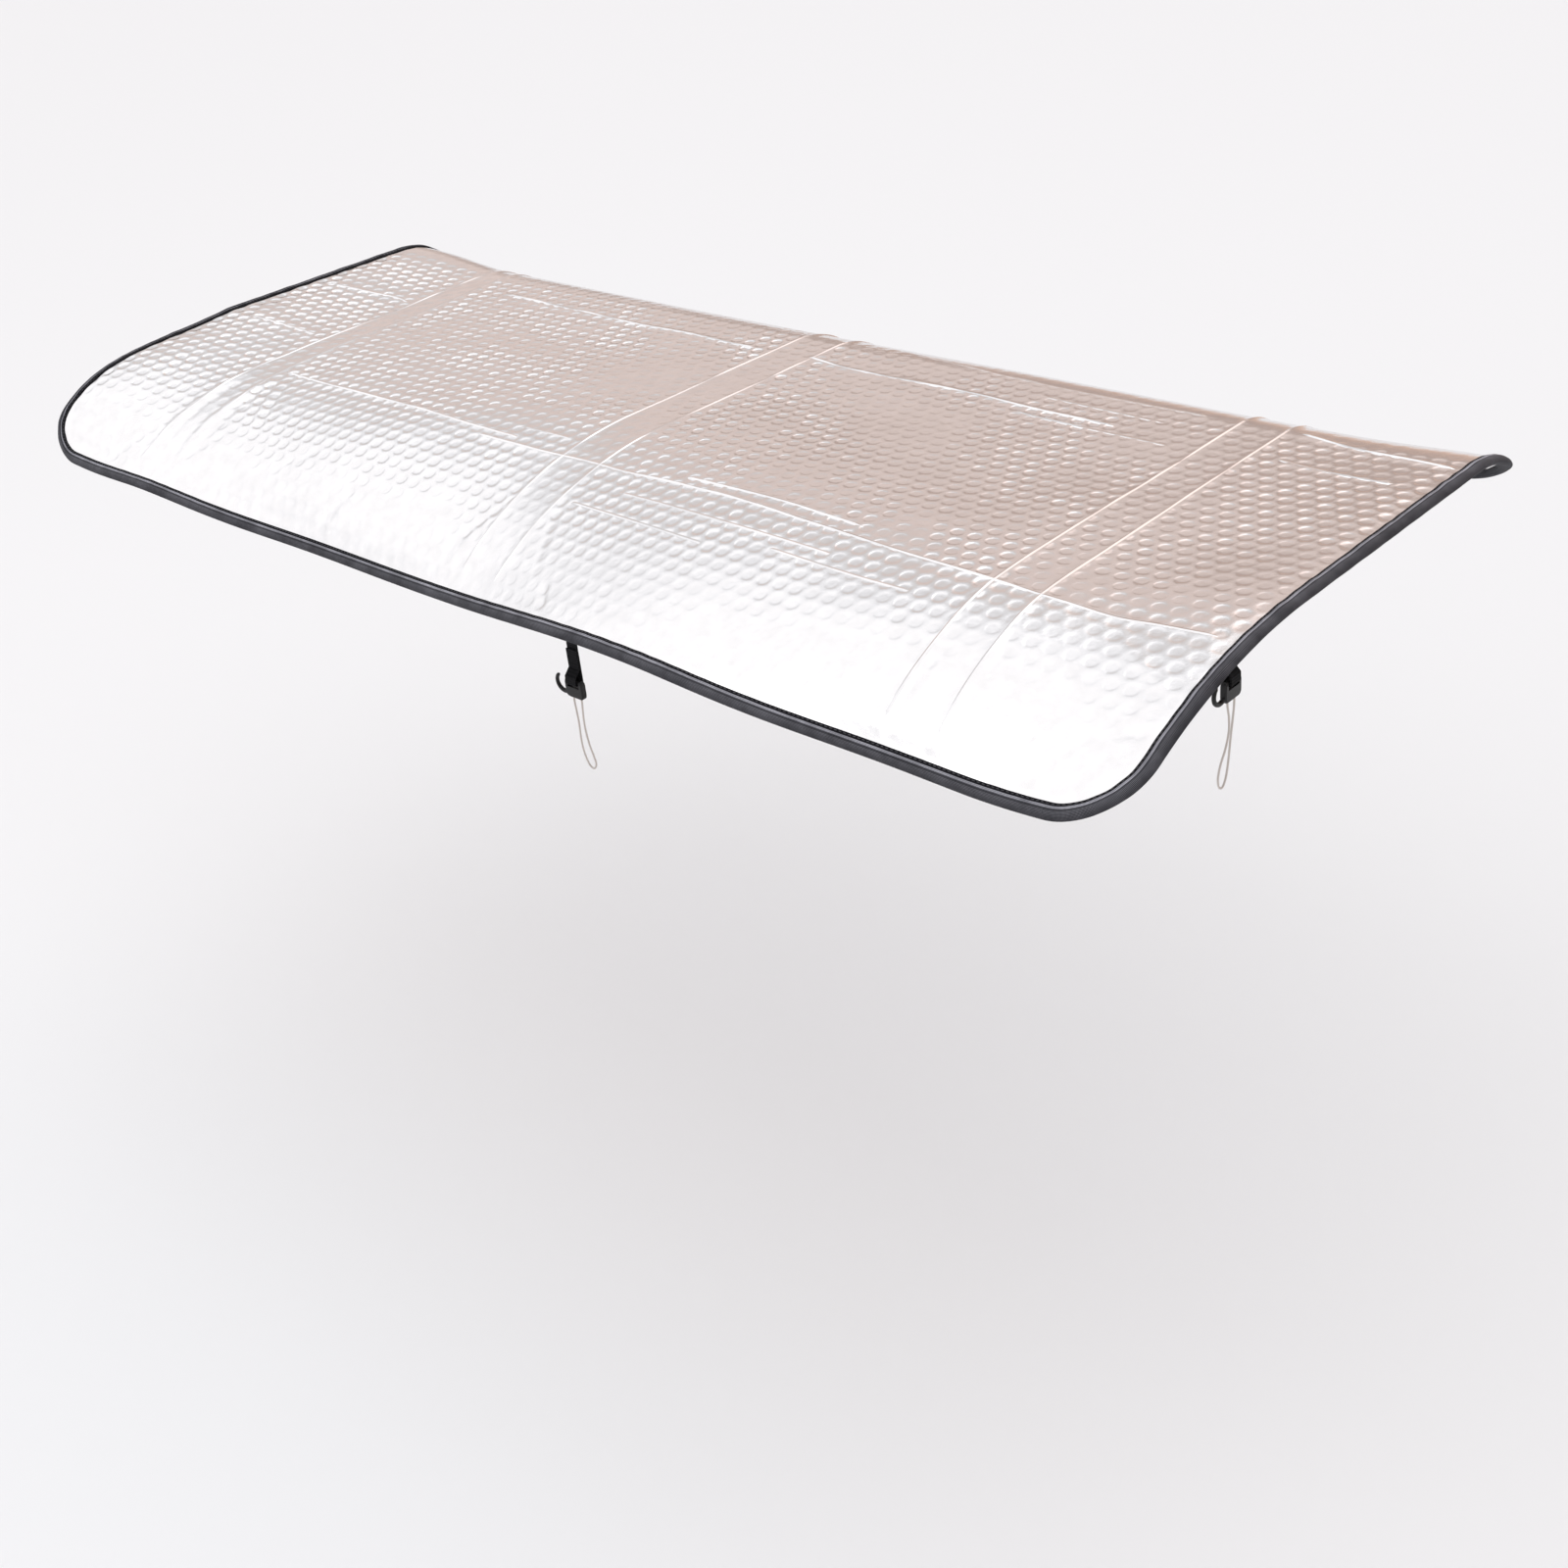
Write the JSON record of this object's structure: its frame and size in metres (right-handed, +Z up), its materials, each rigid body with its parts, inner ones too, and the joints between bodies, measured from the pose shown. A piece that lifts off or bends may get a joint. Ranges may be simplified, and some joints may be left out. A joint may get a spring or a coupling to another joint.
{
  "type": "air conditioner cover",
  "caption": "Oblong bubble-foil sun cover with a dark sewn edge binding, draped as it lies over an outdoor unit, with strap, clip and elastic tie fixings.",
  "frame": {"origin": "the flat underside of the top, over the middle of what the cover rests on", "axes": "+Z up, +X along the cover's long side to the right seen from the front, +Y from front to back"},
  "size_m": [0.994, 0.4495, 0.2263],
  "materials": {
    "foil": "silver metallised film over air bubbles, softly wrinkled",
    "tape": "dark slate woven binding tape",
    "webbing": "black woven webbing",
    "clip": "black moulded plastic, satin",
    "elastic": "pale grey-beige elastic cord"
  },
  "bodies": {
    "root": {"foil_sheet": "foil", "edge_binding": "tape", "front_strap": "webbing", "side_strap": "webbing", "front_clip": "clip", "side_clip": "clip", "front_tie": "elastic", "side_tie": "elastic"}
  },
  "joints": []
}
